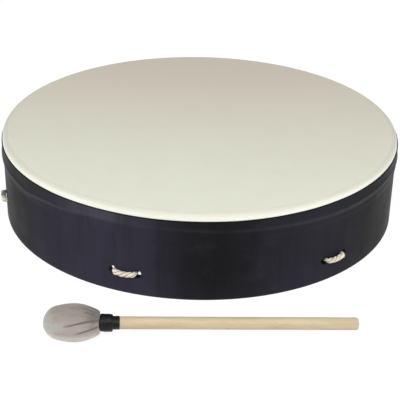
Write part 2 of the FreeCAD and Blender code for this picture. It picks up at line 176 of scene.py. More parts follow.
class Colours(bpy.types.PropertyGroup):
    film: colour("Film", "Head", 229, 231, 214)
    # Also the colour of the painted shade towards the head's back.
    film_shade: colour("Film shade", "Warmer parts of the head", 220, 211, 195)
    # Painted shade on the rolled edge.
    film_edge_shade: colour("Film edge", "Where the film was stretched over the edge", 210, 209, 195)
    # Painted highlight on the film's lip.
    film_lip_highlight: colour("Film lip", "Side of the film above the collar band", 244, 245, 232)
    sheet: colour("Covering", "Covering sheet and collar band", 20, 20, 22)
    # Painted sheen: the covering's colour where broad reflections of the lamps are painted on.
    sheet_painted_sheen: colour("Covering bloom", "Paler stretches of the covering", 47, 45, 58)
    # Worn places of the covering, and also the painted highlight on the collar's bead and the
    # painted sheen above it.
    sheet_wear_and_highlight: colour("Worn covering", "Rubbed places of the covering", 82, 81, 87)
    fibre: colour("Fibre", "Bare wall", 104, 88, 72)
    fibre_shade: colour("Fibre shade", "Darker fibres of the wall", 62, 50, 40)
    rope: colour("Rope", "Lit side of the rope's yarns", 252, 245, 231)
    rope_shade: colour("Rope shade", "Between the rope's strands", 168, 142, 110)
    twine: colour("Twine", "Twine round the join", 176, 148, 108)
    twine_shade: colour("Twine shade", "Between the twine's strands", 104, 78, 48)
    thread: colour("Thread", "Binding thread", 214, 206, 188)
    suede: colour("Suede", "Suede of the mallet", 168, 158, 151)
    suede_cool: colour("Cool suede", "Cooler patches of the suede", 172, 174, 165)
    # Painted light on the suede's underside.
    suede_painted_light: colour("Pale suede", "Nap brushed upwards", 208, 199, 190)
    # Also the colour of the painted shade in the folds, on the top and near the neck.
    suede_dark: colour("Dark suede", "Nap in the folds", 95, 89, 84)
    wood: colour("Stick", "Stick's wood", 205, 189, 161)
    wood_shade: colour("Stick grain", "Grain of the stick", 186, 164, 130)
    tape: colour("Tape", "Tape round the neck", 5, 5, 6)
    padding: colour("Padding", "Wool inside the head", 226, 220, 206)
    rubber: colour("Rubber", "Core of the head", 44, 42, 40)


class StudioSettings(bpy.types.PropertyGroup):
    camera_place: FloatVectorProperty(
        name="Camera",
        description="Where the camera stands",
        default=(0.0, -1.03285, 0.53254),
        subtype="TRANSLATION",
    )
    camera_pitch: angle("Pitch", "How far the camera looks down", 27.37)
    camera_yaw: angle("Yaw", "How far the camera looks towards +X", 0.08)
    camera_roll: angle("Roll", "Turn of the camera round its line of sight", 1.13)
    focal_length: FloatProperty(
        name="Lens", description="Focal length in millimetres", default=96.99
    )
    key_power: FloatProperty(name="Key", description="Power of the front lamp", default=9.5)
    top_power: FloatProperty(name="Top", description="Power of the lamp overhead", default=2.0)
    side_power: FloatProperty(name="Sides", description="Power of each side lamp", default=7.0)
    room_light: FloatProperty(name="Room", description="Strength of the room", default=0.38)
    floor_width: length("Floor", "Width of the floor", 24.0)


# Meshes

def make_object(name, points, faces, material, sharp=FACET):
    mesh = bpy.data.meshes.new(name)
    mesh.from_pydata([tuple(point) for point in points], [], faces)
    finish_mesh(mesh, sharp)
    mesh.materials.append(material)
    return put_in_scene(name, mesh)


def put_in_scene(name, data):
    thing = bpy.data.objects.new(name, data)
    bpy.context.scene.collection.objects.link(thing)
    return thing


def claim(piece, body, replaced):
    """The piece rides on a body and stands for CAD nodes, which it hides."""
    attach(piece, body)
    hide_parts(*replaced)


def finish_mesh(mesh, sharp):
    """Faces outwards and smooth, with an edge kept wherever the surface turns by sharp degrees."""
    work = bmesh.new()
    work.from_mesh(mesh)
    bmesh.ops.recalc_face_normals(work, faces=work.faces)
    for face in work.faces:
        face.smooth = True
    for edge in work.edges:
        edge.smooth = len(edge.link_faces) == 2 and edge.calc_face_angle() < math.radians(sharp)
    work.to_mesh(mesh)
    work.free()


def write_shade(piece, name, value_at):
    """Keeps a value from 0 to 1 at each point of a mesh, for its material to read."""
    layer = piece.data.attributes.new(name, "FLOAT", "POINT")
    for vertex, shade in zip(piece.data.vertices, layer.data):
        shade.value = value_at(vertex.co)


def turned(section_at, segments, closed, along_x=False):
    """Points and faces of a section turned round an axis. section_at(angle) gives its places
    (radius, distance along the axis). A first or last radius of zero makes a pole."""
    angles = [2 * math.pi * step / segments for step in range(segments)]
    sections = [section_at(turn) for turn in angles]
    points, rings = [], []
    for place in range(len(sections[0])):
        pole = sections[0][place][0] == 0
        ring = []
        for turn, section in zip(angles, sections):
            if pole and ring:
                ring.append(ring[0])
                continue
            radius, along = section[place]
            ring.append(len(points))
            if along_x:
                points.append((along, radius * math.sin(turn), radius * math.cos(turn)))
            else:
                points.append((radius * math.sin(turn), -radius * math.cos(turn), along))
        rings.append(ring)
    if closed:
        rings.append(rings[0])
    faces = []
    for lower, upper in zip(rings, rings[1:]):
        for step in range(segments):
            after = (step + 1) % segments
            corners = [lower[step], lower[after], upper[after], upper[step]]
            kept = [corner for at, corner in enumerate(corners) if corner != corners[at - 1]]
            if len(kept) > 2:
                faces.append(kept)
    return points, faces


def arc(centre, radius, start, end, steps):
    """Places (radius, height) along an arc, with its angles in degrees from outwards to up."""
    places = []
    for step in range(steps + 1):
        turn = math.radians(start + (end - start) * step / steps)
        places.append((centre[0] + radius * math.cos(turn), centre[1] + radius * math.sin(turn)))
    return places


def steps_between(start, end, count):
    return [start + (end - start) * step / count for step in range(count + 1)]


def polar(radius, azimuth, height):
    return Vector((radius * math.sin(azimuth), -radius * math.cos(azimuth), height))


def azimuth_of(place):
    return math.atan2(place[0], -place[1])


def eased(share):
    """The share kept from 0 to 1, with a gentle start and end."""
    share = min(1.0, max(0.0, share))
    return share * share * (3 - 2 * share)


def bell(off):
    return math.exp(-off * off)


def spline_points(places, resolution):
    """Points read from the smooth NURBS line whose control points are the given places."""
    data = bpy.data.curves.new("line", "CURVE")
    data.dimensions = "3D"
    spline = data.splines.new("NURBS")
    spline.points.add(len(places) - 1)
    for point, place in zip(spline.points, places):
        point.co = (*place, 1)
    spline.order_u = 3
    spline.use_endpoint_u = True
    spline.resolution_u = resolution
    holder = bpy.data.objects.new("line", data)
    mesh = bpy.data.meshes.new_from_object(holder)
    line = np.array([vertex.co for vertex in mesh.vertices])
    bpy.data.objects.remove(holder)
    bpy.data.curves.remove(data)
    bpy.data.meshes.remove(mesh)
    return line


def even_steps(line, step):
    """The line divided evenly, and the distance of each point along it."""
    runs = np.linalg.norm(np.diff(line, axis=0), axis=1)
    along = np.concatenate([[0], np.cumsum(runs)])
    count = max(2, int(round(along[-1] / step)))
    wanted = np.linspace(0, along[-1], count + 1)
    points = np.stack([np.interp(wanted, along, line[:, axis]) for axis in range(3)], axis=1)
    return points, wanted


def strand_section(count, points_round):
    """Share of the rope's radius at each angle of its section, which is a ring of strands."""
    strand = 0.66  # a strand's radius, as a share of the rope's
    offset = 1 - strand
    shares = []
    for step in range(points_round):
        turn = 2 * math.pi * step / points_round
        off_strand = (turn + math.pi / count) % (2 * math.pi / count) - math.pi / count
        across = offset * math.sin(off_strand)
        shares.append(offset * math.cos(off_strand) + math.sqrt(strand ** 2 - across ** 2))
    return np.array(shares)


def laid_rope(
    name, line, diameter, lay, strands, material, points_round=30, step=0.0011, ring=False,
    held_at=None,
):
    """A rope of strands laid up left-handed along the line. UV holds the place round the rope's
    section, which turns with the strands, and the distance along the rope in metres.
    held_at(point) gives how much a hole holds the rope there: the share that its thickness
    loses, and how much painted shade darkens it."""
    end_taper = 0.82
    facet = 70
    points, along = even_steps(line, step)
    if ring:
        points, along = points[:-1], along[:-1]
        tangents = np.roll(points, -1, axis=0) - np.roll(points, 1, axis=0)
    else:
        tangents = np.gradient(points, axis=0)
    tangents /= np.linalg.norm(tangents, axis=1)[:, None]
    across = np.cross(tangents[0], (0.0, 0.0, 1.0))
    if np.linalg.norm(across) < 0.2:
        across = np.cross(tangents[0], (1.0, 0.0, 0.0))
    sides = [across / np.linalg.norm(across)]
    for tangent in tangents[1:]:
        side = sides[-1] - tangent * np.dot(sides[-1], tangent)
        sides.append(side / np.linalg.norm(side))
    sides = np.array(sides)
    ups = np.cross(tangents, sides)
    shares = strand_section(strands, points_round)
    angles = np.linspace(0, 2 * math.pi, points_round, endpoint=False)
    turned_by = -2 * math.pi * along[:, None] / lay + angles[None, :]
    radii = np.tile(shares * diameter / 2, (len(points), 1))
    if not ring:
        for end in (0, -1):
            radii[end] *= end_taper
    held = [held_at(point) if held_at else (0.0, 0.0) for point in points]
    radii *= 1 - np.array([loss for loss, shadow_paint in held])[:, None]
    offsets = (
        radii[:, :, None] * np.cos(turned_by)[:, :, None] * sides[:, None, :]
        + radii[:, :, None] * np.sin(turned_by)[:, :, None] * ups[:, None, :]
    )
    vertices = (points[:, None, :] + offsets).reshape(-1, 3)
    faces, coords = [], []
    rings = len(points)
    for at in range(rings if ring else rings - 1):
        after = (at + 1) % rings
        far = along[at] + (along[1] - along[0])
        for place in range(points_round):
            beside = (place + 1) % points_round
            faces.append((
                at * points_round + place,
                at * points_round + beside,
                after * points_round + beside,
                after * points_round + place,
            ))
            left, right = place / points_round, (place + 1) / points_round
            coords.append(((left, along[at]), (right, along[at]), (right, far), (left, far)))
    if not ring:
        for end in (0, rings - 1):
            faces.append(tuple(range(end * points_round, (end + 1) * points_round)))
            coords.append(tuple((0.5, along[end]) for _ in range(points_round)))
    mesh = bpy.data.meshes.new(name)
    mesh.from_pydata(vertices.tolist(), [], faces)
    layer = mesh.uv_layers.new(name="strands")
    layer.data.foreach_set("uv", np.array([c for face in coords for c in face]).ravel())
    finish_mesh(mesh, facet)
    mesh.materials.append(material)
    # Painted shade, for the rope's material to read.
    painted_shade = mesh.attributes.new("shadow_paint", "FLOAT", "POINT")
    painted_shade.data.foreach_set("value", np.repeat([shadow_paint for loss, shadow_paint in held], points_round))
    return put_in_scene(name, mesh)


def cut_holes(piece, cutters):
    """Takes the cutters' shapes out of the piece's mesh."""
    cutter = cutters[0]
    with bpy.context.temp_override(
        active_object=cutter, selected_editable_objects=cutters, selected_objects=cutters
    ):
        bpy.ops.object.join()
    cutting = piece.modifiers.new("holes", "BOOLEAN")
    cutting.object = cutter
    cutting.solver = "EXACT"
    bpy.context.view_layer.update()
    cut = bpy.data.meshes.new_from_object(
        piece.evaluated_get(bpy.context.evaluated_depsgraph_get())
    )
    piece.modifiers.remove(cutting)
    piece.data = cut
    bpy.data.objects.remove(cutter)
    finish_mesh(cut, FACET)


# Materials

def add(tree, kind, settings=None, **sockets):
    """A node with its settings and sockets. A socket's spaces are written as underscores."""
    node = tree.nodes.new(kind)
    for name, value in (settings or {}).items():
        setattr(node, name, value)
    for name, value in sockets.items():
        fill(tree, node.inputs[name.replace("_", " ")], value)
    return node


def fill(tree, socket, value):
    if isinstance(value, bpy.types.NodeSocket):
        tree.links.new(value, socket)
    elif socket.type == "RGBA":
        socket.default_value = (*value, 1)
    else:
        socket.default_value = value


def calculate(tree, operation, first, second=0.0):
    node = tree.nodes.new("ShaderNodeMath")
    node.operation = operation
    fill(tree, node.inputs[0], first)
    fill(tree, node.inputs[1], second)
    return node.outputs[0]


def mixed(tree, share, first, second, blend_type="MIX"):
    node = tree.nodes.new("ShaderNodeMix")
    node.data_type = "RGBA"
    node.blend_type = blend_type
    fill(tree, node.inputs[0], share)
    fill(tree, node.inputs[6], first)
    fill(tree, node.inputs[7], second)
    return node.outputs[2]


def fade(tree, value, start, end, low=0.0, high=1.0):
    """Maps start to end on to low to high, smoothly and no further."""
    node = add(
        tree, "ShaderNodeMapRange", {"interpolation_type": "SMOOTHSTEP"},
        Value=value, From_Min=start, From_Max=end, To_Min=low, To_Max=high,
    )
    return node.outputs[0]


def layered(tree, base, tint, value, start, end, high=1.0, blend_type="MIX"):
    """The tint over the base, as strongly as the value's fade says."""
    return mixed(tree, fade(tree, value, start, end, high=high), base, tint, blend_type)


def placed(tree, stretch=(1, 1, 1)):
    """The piece's own coordinates in metres, each multiplied by its stretch."""
    coordinates = tree.nodes.new("ShaderNodeTexCoord").outputs["Object"]
    return add(tree, "ShaderNodeMapping", Vector=coordinates, Scale=stretch).outputs[0]


def axis_of(tree, vector, axis):
    return add(tree, "ShaderNodeSeparateXYZ", Vector=vector).outputs[axis]


def shade_of(tree, name):
    """The value that write_shade or laid_rope kept at each point of the mesh."""
    return add(tree, "ShaderNodeAttribute", {"attribute_name": name}).outputs["Fac"]


def grain(tree, vector, scale, detail=4.0, roughness=0.5, distortion=0.0):
    return add(
        tree, "ShaderNodeTexNoise", Vector=vector, Scale=scale, Detail=detail,
        Roughness=roughness, Distortion=distortion,
    ).outputs["Fac"]


def bumped(tree, height, strength, distance, under=None):
    sockets = {"Height": height, "Strength": strength, "Distance": distance}
    if under is not None:
        sockets["Normal"] = under
    return add(tree, "ShaderNodeBump", **sockets).outputs[0]


def start_material(name, **settings):
    """A material and its tree, with the shader's own sockets set."""
    material = bpy.data.materials.new(name)
    material.use_nodes = True
    tree = material.node_tree
    for socket, value in settings.items():
        tree.nodes["Principled BSDF"].inputs[socket.replace("_", " ")].default_value = value
    return material, tree


def finish_material(material, base, normal, roughness=None):
    """Gives the shader its colour, its bumps and, where it varies, its roughness."""
    tree = material.node_tree
    inputs = tree.nodes["Principled BSDF"].inputs
    tree.links.new(base, inputs["Base Color"])
    tree.links.new(normal, inputs["Normal"])
    if roughness is not None:
        tree.links.new(roughness, inputs["Roughness"])
    return material


def film_material(colours):
    """A felted plastic film: pale, faintly mottled, with short fibres under a soft gloss, painted
    shade towards its back and on its rolled edge, and a painted highlight on its lip.
    """
    material, tree = start_material("film", Specular_IOR_Level=0.5)
    edge_start, edge_end = 0.1965, 0.2
    lip_top, lip_bottom = 0.0872, 0.0822
    place = placed(tree)
    clouds = grain(tree, place, 34, 6, 0.62)
    specks = grain(tree, place, 620, 3, 0.7)
    fibres = grain(tree, placed(tree, (1, 5, 1)), 260, 3, 0.6, 0.8)
    wander = calculate(tree, "MULTIPLY", grain(tree, place, 6, 2), 0.16)
    # Painted shade: the head grows darker towards its back, with a little wander.
    painted_falloff = calculate(tree, "ADD", axis_of(tree, place, "Y"), wander)
    from_axis = add(
        tree, "ShaderNodeVectorMath", {"operation": "LENGTH"}, Vector=placed(tree, (1, 1, 0))
    ).outputs["Value"]
    height = axis_of(tree, place, "Z")
    shade = colours.film_shade
    base = layered(tree, colours.film, shade, painted_falloff, -0.1, 0.28)
    # Painted shade on the rolled edge.
    base = layered(tree, base, colours.film_edge_shade, from_axis, edge_start, edge_end)
    # Painted highlight on the lip.
    base = layered(tree, base, colours.film_lip_highlight, height, lip_top, lip_bottom)
    base = layered(tree, base, shade, clouds, 0.4, 0.7, high=0.16)
    base = layered(tree, base, shade, specks, 0.3, 0.75, high=0.12, blend_type="MULTIPLY")
    felt = bumped(tree, specks, 0.16, 0.00012, bumped(tree, clouds, 0.08, 0.0004))
    normal = bumped(tree, fibres, 0.14, 0.0001, felt)
    return finish_material(material, base, normal, fade(tree, clouds, 0.2, 0.8, 0.38, 0.48))


def sheet_material(colours):
    """A thin black sheet with a fine pebbled grain, rubbed a little greyer in places; painted
    sheen, highlight and shadow lie on it.
    """
    material, tree = start_material("covering", Specular_IOR_Level=0.07)
    # The second colour paints the shadow along the collar's top, under the head's edge.
    streak, painted_gap_shadow = (0.006, 0.006, 0.008), (0.001, 0.001, 0.001)
    rubbed_edge = 0.0022
    place = placed(tree)
    pebble = add(
        tree, "ShaderNodeTexVoronoi", {"feature": "SMOOTH_F1"}, Vector=place, Scale=900.0
    ).outputs["Distance"]
    rub = grain(tree, place, 30, 6, 0.62)
    streaks = grain(tree, placed(tree, (1, 1, 0.15)), 130, 3, 0.6)
    low_edge = fade(tree, axis_of(tree, place, "Z"), rubbed_edge, 0.0002, high=0.5)
    # Wear at the lower edge, with the painted highlight on the collar's bead and the painted sheen
    # above it.
    edges = calculate(tree, "MAXIMUM", shade_of(tree, "painted_highlight"), low_edge)
    wear_and_highlight = calculate(tree, "MULTIPLY", edges, fade(tree, rub, 0.3, 0.6, low=0.35))
    wear_and_highlight = calculate(tree, "MAXIMUM", wear_and_highlight, fade(tree, rub, 0.5, 0.78, high=0.12))
    # Painted sheen over broad stretches of the covering and band, read from the bloom attribute.
    base = mixed(tree, shade_of(tree, "bloom"), colours.sheet, colours.sheet_painted_sheen)
    base = mixed(tree, wear_and_highlight, base, colours.sheet_wear_and_highlight)
    base = layered(tree, base, streak, streaks, 0.45, 0.7, high=0.2)
    # Painted shadow along the collar's top, under the head's edge.
    base = mixed(tree, shade_of(tree, "painted_gap_shadow"), base, painted_gap_shadow)
    normal = bumped(tree, pebble, 0.3, 0.0002, bumped(tree, rub, 0.18, 0.0008))
    return finish_material(material, base, normal, fade(tree, rub, 0.3, 0.75, 0.46, 0.6))


def fibre_material(colours):
    """Pressed wood fibre: brown, with pale and dark flecks lying round the wall, and darkened
    inside the rope holes.
    """
    material, tree = start_material("fibre", Specular_IOR_Level=0.35)
    hole_black = (0.004, 0.004, 0.004)
    flecks = grain(tree, placed(tree, (1, 1, 4)), 190, 6, 0.68)
    patches = grain(tree, placed(tree), 24, 4, 0.55)
    fine = grain(tree, placed(tree, (1, 1, 2.5)), 900, 3, 0.6)
    fibre = colours.fibre
    base = layered(tree, fibre, colours.fibre_shade, flecks, 0.36, 0.66)
    base = layered(tree, base, fibre, patches, 0.35, 0.75, high=0.35, blend_type="MULTIPLY")
    # Darker inside the rope holes.
    base = mixed(tree, shade_of(tree, "dark_in_holes"), base, hole_black)
    normal = bumped(tree, fine, 0.3, 0.00015, bumped(tree, flecks, 0.3, 0.0004))
    return finish_material(material, base, normal, fade(tree, flecks, 0.3, 0.7, 0.58, 0.78))


def rope_material(name, light, shade, strands, diameter):
    """Twisted yarns: each strand's yarns cross it the other way, and painted shade darkens its
    grooves.
    """
    material, tree = start_material(
        name, Roughness=0.85, Specular_IOR_Level=0.25, Sheen_Weight=0.25, Sheen_Roughness=0.6
    )
    # Colour of the painted shade in the holes and on one stitch.
    shadow_paint = (0.012, 0.01, 0.008)
    yarns_round = 4
    yarn_lean = 1.6
    strand_angle = 2 * math.pi * strands
    on_mesh = tree.nodes.new("ShaderNodeUVMap").outputs[0]
    round_share, along = axis_of(tree, on_mesh, "X"), axis_of(tree, on_mesh, "Y")
    on_strand = calculate(
        tree, "COSINE", calculate(tree, "MULTIPLY", round_share, strand_angle)
    )
    yarn_angle = calculate(
        tree, "ADD",
        calculate(tree, "MULTIPLY", round_share, strand_angle * yarns_round),
        calculate(tree, "MULTIPLY", along, 2 * math.pi * yarn_lean / diameter),
    )
    yarns = calculate(tree, "SINE", yarn_angle)
    stretched = add(
        tree, "ShaderNodeCombineXYZ",
        X=calculate(tree, "MULTIPLY", round_share, 40.0),
        Y=calculate(tree, "MULTIPLY", along, 0.9 / diameter),
    ).outputs[0]
    hairs = grain(tree, stretched, 1.6, 5, 0.7)
    blotches = grain(tree, placed(tree), 0.45 / diameter, 3, 0.6)
    base = layered(tree, light, shade, hairs, 0.35, 0.72, high=0.38)
    base = layered(tree, base, shade, yarns, 0.2, -1.0, high=0.35, blend_type="MULTIPLY")
    base = layered(tree, base, shade, blotches, 0.45, 0.7, high=0.3)
    # Painted shade in the grooves between the strands.
    base = layered(tree, base, shade, on_strand, -0.35, -1.0, high=0.85)
    # Painted shade where the rope passes through the holes and on one stitch.
    base = mixed(tree, shade_of(tree, "shadow_paint"), base, shadow_paint)
    twist = bumped(tree, yarns, 0.55, diameter * 0.035)
    return finish_material(material, base, bumped(tree, hairs, 0.5, diameter * 0.03, twist))


def suede_material(colours):
    """Brushed suede: a short nap, brushed lighter and darker in patches, with painted shade in its
    folds, on its top and near the neck, and painted light underneath.
    """
    material, tree = start_material(
        "suede_nap", Roughness=0.95, Specular_IOR_Level=0.15, Sheen_Weight=0.35,
        Sheen_Roughness=0.5,
    )
    dark = colours.suede_dark
    place = placed(tree)
    from_tip, side = axis_of(tree, place, "X"), axis_of(tree, place, "Z")
    brushed = grain(tree, placed(tree, (0.3, 1, 1)), 260, 4, 0.6)
    nap = grain(tree, place, 2400, 3, 0.7)
    near_tip = calculate(tree, "MULTIPLY", from_tip, 16.0)
    patches = calculate(tree, "SUBTRACT", grain(tree, place, 42, 4, 0.55, 0.4), near_tip)
    base = layered(tree, colours.suede, colours.suede_cool, patches, 0.28, 0.5)
    base = layered(tree, base, dark, brushed, 0.45, 0.75, high=0.22)
    base = layered(tree, base, dark, nap, 0.4, 0.8, high=0.2, blend_type="MULTIPLY")
    # Painted shade in the folds.
    base = layered(tree, base, dark, shade_of(tree, "painted_crease_shade"), 0.05, 1.1, high=0.9)
    # Painted light: paler underneath.
    base = layered(tree, base, colours.suede_painted_light, side, -0.001, -0.008, high=0.85)
    # Painted shade on the top.
    above = fade(tree, side, 0.002, 0.017, high=0.5)
    painted_shade = calculate(tree, "MULTIPLY", above, fade(tree, brushed, 0.2, 0.6, low=0.6))
    base = mixed(tree, painted_shade, base, dark)
    # Painted shade on the upper side near the neck.
    near_neck = fade(tree, from_tip, 0.028, 0.045)
    upper = fade(tree, side, -0.004, 0.009, high=0.72)
    gathered = calculate(tree, "MULTIPLY", near_neck, upper)
    uneven = fade(tree, brushed, 0.25, 0.6, low=0.4)
    base = mixed(tree, calculate(tree, "MULTIPLY", gathered, uneven), base, dark)
    soft = bumped(tree, brushed, 0.3, 0.0003)
    return finish_material(material, base, bumped(tree, nap, 0.4, 0.00012, soft))


def wood_material(colours):
    """Pale close-grained wood, its grain along the stick, with a few darker pores."""
    material, tree = start_material("pale_wood", Specular_IOR_Level=0.4)
    shade = colours.wood_shade
    figure = grain(tree, placed(tree, (0.06, 1, 1)), 420, 5, 0.6, 0.3)
    bands = grain(tree, placed(tree, (0.03, 1, 1)), 110, 3, 0.5)
    pores = grain(tree, placed(tree, (0.12, 1, 1)), 1500, 2, 0.5)
    base = layered(tree, colours.wood, shade, figure, 0.38, 0.72, high=0.75)
    base = layered(tree, base, shade, bands, 0.4, 0.7, high=0.4)
    base = layered(tree, base, shade, pores, 0.62, 0.72, high=0.35, blend_type="MULTIPLY")
    normal = bumped(tree, pores, 0.2, 0.00008)
    return finish_material(material, base, normal, fade(tree, figure, 0.3, 0.7, 0.42, 0.58))


def tape_material(colours):
    """Black cloth-backed tape: a fine weave under a dull sheen."""
    material, tree = start_material("tape", Specular_IOR_Level=0.27)
    rubbed = (0.012, 0.012, 0.013)
    weave = add(
        tree, "ShaderNodeTexWave", {"wave_type": "BANDS", "bands_direction": "X"},
        Vector=placed(tree), Scale=700.0, Distortion=0.6, Detail=1.0,
    ).outputs["Fac"]
    smudge = grain(tree, placed(tree), 180, 4, 0.6)
    wrinkles = grain(tree, placed(tree, (1, 0.35, 0.35)), 330, 2, 0.5, 1.2)
    base = layered(tree, colours.tape, rubbed, smudge, 0.4, 0.75, high=0.6)
    normal = bumped(tree, weave, 0.25, 0.00006, bumped(tree, wrinkles, 0.8, 0.0009))
    return finish_material(material, base, normal, fade(tree, smudge, 0.3, 0.7, 0.32, 0.5))


def padding_material(colours):
    """Carded wool."""
    material, tree = start_material("wool", Roughness=1.0, Sheen_Weight=0.3)
    shade = (0.5, 0.46, 0.38)
    tufts = grain(tree, placed(tree), 520, 6, 0.7, 0.6)
    base = layered(tree, colours.padding, shade, tufts, 0.3, 0.7)
    return finish_material(material, base, bumped(tree, tufts, 0.7, 0.0006))


def rubber_material(colours):
    """Moulded rubber with a dusty bloom."""
    material, tree = start_material("rubber", Specular_IOR_Level=0.35)
    dust = (0.06, 0.058, 0.055)
    bloom = grain(tree, placed(tree), 300, 5, 0.65)
    base = layered(tree, colours.rubber, dust, bloom, 0.4, 0.75, high=0.5)
    normal = bumped(tree, bloom, 0.3, 0.0002)
    return finish_material(material, base, normal, fade(tree, bloom, 0.3, 0.7, 0.6, 0.8))


# The drum's wall, covering, band and head

WALL_SEGMENTS = 288


def pair_azimuths(drum):
    """Three pairs of holes face the front; the other three stand evenly round the rest."""
    rear_step = (2 * math.pi - 2 * drum.front_step) / 4
    azimuths = [drum.middle_azimuth - drum.front_step]
    for step in (drum.front_step, drum.front_step, rear_step, rear_step, rear_step):
        azimuths.append(azimuths[-1] + step)
    return azimuths


def hole_cutters(drum, inner, outer):
    """One cutter for each rope hole, flared a little where the rope bends over the edges."""
    flare = 0.0004
    clear = 0.004
    segments = 40
    hole = drum.hole_radius
    section = [
        (0, inner - clear),
        (hole + flare + clear, inner - clear),
        (hole + flare, inner),
        (hole, inner + flare),
        (hole, outer - flare),
        (hole + flare, outer),
        (hole + flare + clear, outer + clear),
        (0, outer + clear),
    ]
    points, faces = turned(lambda turn: section, segments, False)
    half_angle = drum.hole_spacing / 2 / drum.radius
    cutters = []
    for azimuth in pair_azimuths(drum):
        for side in (-half_angle, half_angle):
            mesh = bpy.data.meshes.new("cutter")
            mesh.from_pydata(points, [], faces)
            finish_mesh(mesh, FACET)
            outward = polar(1, azimuth + side, 0)
            place = Matrix.Translation((0, 0, drum.hole_height))
            mesh.transform(place @ UP.rotation_difference(outward).to_matrix().to_4x4())
            cutters.append(put_in_scene("cutter", mesh))
    return cutters


class DRUM_OT_wall(bpy.types.Operator):
    """Makes the fibre wall with its rope holes and the black sheet that covers it"""

    bl_idname = "drum.wall"
    bl_label = "Wall and covering"

    def execute(self, context):
        drum, colours = context.scene.drum_sizes, context.scene.drum_colours
        outside = drum.radius - drum.film
        inside = outside - drum.wall
        top = drum.height - drum.film
        self.make_wall(drum, colours, inside, outside, top)
        self.make_covering(drum, colours, inside, outside)
        return {"FINISHED"}

    def make_wall(self, drum, colours, inside, outside, top):
        roll = (outside - drum.edge_radius, top - drum.edge_radius)
        break_edge = 0.0005
        black_depth = 0.0005
        black_reach = drum.hole_radius * 1.4
        wall = [(inside, z) for z in steps_between(top - break_edge, break_edge, 18)]
        wall += [(inside + break_edge, 0), (outside - break_edge, 0)]
        wall += [(outside, z) for z in steps_between(break_edge, roll[1], 16)]
        wall += arc(roll, drum.edge_radius, 8, 90, 20)
        wall += [(inside + break_edge, top)]
        points, faces = turned(lambda turn: wall, WALL_SEGMENTS, True)
        piece = make_object("fibre_wall", points, faces, fibre_material(colours))
        claim(piece, "drum", ["shell"])
        cut_holes(piece, hole_cutters(drum, inside, outside + drum.film))

        def dark_in_holes_at(place):
            # The wall is darkened inside the rope holes.
            in_wall = (math.hypot(place.x, place.y) - inside) / black_depth
            beside_hole = abs(place.z - drum.hole_height) < black_reach
            return min(1.0, max(0.0, in_wall)) if beside_hole else 0.0

        write_shade(piece, "dark_in_holes", dark_in_holes_at)

    def make_covering(self, drum, colours, inside, outside):
        cut_edge = 0.00025
        below_skirt = 0.0003
        top = drum.skirt_bottom - below_skirt
        low = drum.cover_trim
        sheet = [(outside + GLUE, z) for z in steps_between(top, low, 14)]
        sheet += [(drum.radius - cut_edge, low), (drum.radius, low + cut_edge)]
        sheet += [(drum.radius, z) for z in steps_between(low + 4 * cut_edge, top, 14)]
        points, faces = turned(lambda turn: sheet, WALL_SEGMENTS, True)
        piece = make_object("black_cover", points, faces, sheet_material(colours))
        claim(piece, "drum", ["shell_cover"])
        cut_holes(piece, hole_cutters(drum, inside, drum.radius))
        # Painted sheen round the covering, kept as bloom.
        write_shade(piece, "bloom", painted_sheen_at)


# Each table gives a value at azimuths in degrees: heights in millimetres, or a share of
# painted sheen, from 0 to 1.
BEAD_HEIGHTS = (
    (-180, 70.0), (-120, 71.0), (-90, 69.0), (-63, 67.2), (-53, 67.0), (-42, 69.7),
    (-26, 73.6), (-11, 73.2), (15, 71.5), (41, 70.0), (66, 71.6), (100, 70.5),
    (140, 69.5), (180, 70.0),
)
COLLAR_TOPS = (
    (-180, 81.5), (-75, 81.5), (-45, 81.7), (-28, 82.0), (-10, 81.7), (12, 81.5),
    (28, 81.9), (40, 82.3), (58, 82.7), (85, 82.7), (140, 81.8), (180, 81.5),
)
# Share of painted sheen round the drum.
PAINTED_SHEEN = (
    (-180, 0.25), (-100, 0.25), (-66, 0.0), (-57, 0.03), (-45, 0.48), (-35, 0.8), (-25, 1.0),
    (-14, 0.92), (-8, 0.42), (-2, 0.12), (4, 0.0), (13, 0.13), (20, 0.4), (34, 0.47),
    (43, 0.25), (55, 0.0), (100, 0.25), (180, 0.25),
)


def wandering(table, turn):
    """A value that wanders a little up and down round the drum: a hand-laid edge's height, or the
    painted sheen's strength.
    """
    azimuth = (math.degrees(turn) + 180) % 360 - 180
    for (start, low), (end, high) in zip(table, table[1:]):
        if start <= azimuth <= end:
            share = (azimuth - start) / (end - start)
            return low + (high - low) * (1 - math.cos(math.pi * share)) / 2
    raise ValueError("azimuth out of range")


def bead_height(turn):
    return wandering(BEAD_HEIGHTS, turn) * MM


def collar_top(turn):
    return wandering(COLLAR_TOPS, turn) * MM


def painted_sheen_at(place):
    """How strongly painted sheen lightens the covering, a little more so towards its lower edge.
    """
    low_band, low_bloom = 0.03, 0.18
    low = max(0.0, 1 - place.z / low_band)
    return min(1.0, wandering(PAINTED_SHEEN, azimuth_of(place)) + low_bloom * low)


